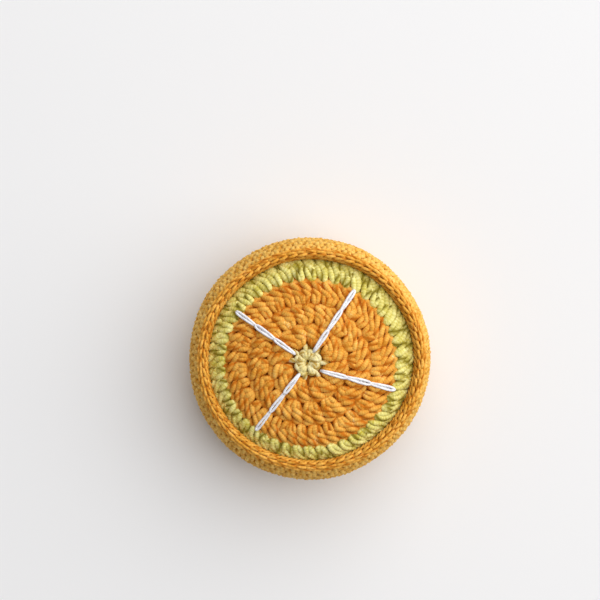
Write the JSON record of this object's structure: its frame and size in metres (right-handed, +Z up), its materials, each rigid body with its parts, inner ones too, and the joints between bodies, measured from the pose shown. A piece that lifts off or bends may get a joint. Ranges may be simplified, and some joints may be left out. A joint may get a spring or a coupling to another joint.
{
  "type": "pin cushion",
  "caption": "Round weighted pin cushion in crochet, shaped like half an orange: drum wall, raised chain rim, green pith ring, orange pulp rounds and white segment lines.",
  "frame": {"origin": "middle of the flat crocheted base, on the surface that the cushion stands on", "axes": "+Z up through the middle of the face that takes the pins; +X and +Y across the face, with the four white lines at about 147, 57, -20 and -128 degrees from +X"},
  "size_m": [0.06, 0.06, 0.0299],
  "materials": {
    "rind_yarn": "golden orange plied cotton, matt with a soft sheen",
    "rim_yarn": "orange plied cotton, matt with a soft sheen",
    "pulp_yarn": "deep orange plied cotton, matt with a soft sheen",
    "pith_yarn": "yellow-green plied cotton, matt with a soft sheen",
    "rosette_yarn": "pale yellow plied cotton, matt with a soft sheen",
    "white_thread": "white mercerised cotton thread, satin",
    "wadding": "white polyester fibre, matt",
    "steel": "plain turned steel, satin"
  },
  "bodies": {
    "root": {"base_round_1": "rind_yarn", "base_round_2": "rind_yarn", "base_round_3": "rind_yarn", "base_round_4": "rind_yarn", "base_round_5": "rind_yarn", "base_round_6": "rind_yarn", "base_round_7": "rind_yarn", "wall_round_01": "rind_yarn", "wall_round_02": "rind_yarn", "wall_round_03": "rind_yarn", "wall_round_04": "rind_yarn", "wall_round_05": "rind_yarn", "wall_round_06": "rind_yarn", "wall_round_07": "rind_yarn", "wall_round_08": "rind_yarn", "wall_round_09": "rind_yarn", "wall_round_10": "rind_yarn", "wall_round_11": "rind_yarn", "rim_chain": "rim_yarn", "pith_round": "pith_yarn", "pulp_round_1": "pulp_yarn", "pulp_round_2": "pulp_yarn", "pulp_round_3": "pulp_yarn", "centre_rosette": "rosette_yarn", "segment_line_1": "white_thread", "segment_line_2": "white_thread", "segment_line_3": "white_thread", "segment_line_4": "white_thread", "pin_wadding": "wadding", "side_wadding": "wadding", "steel_weight": "steel"}
  },
  "joints": []
}
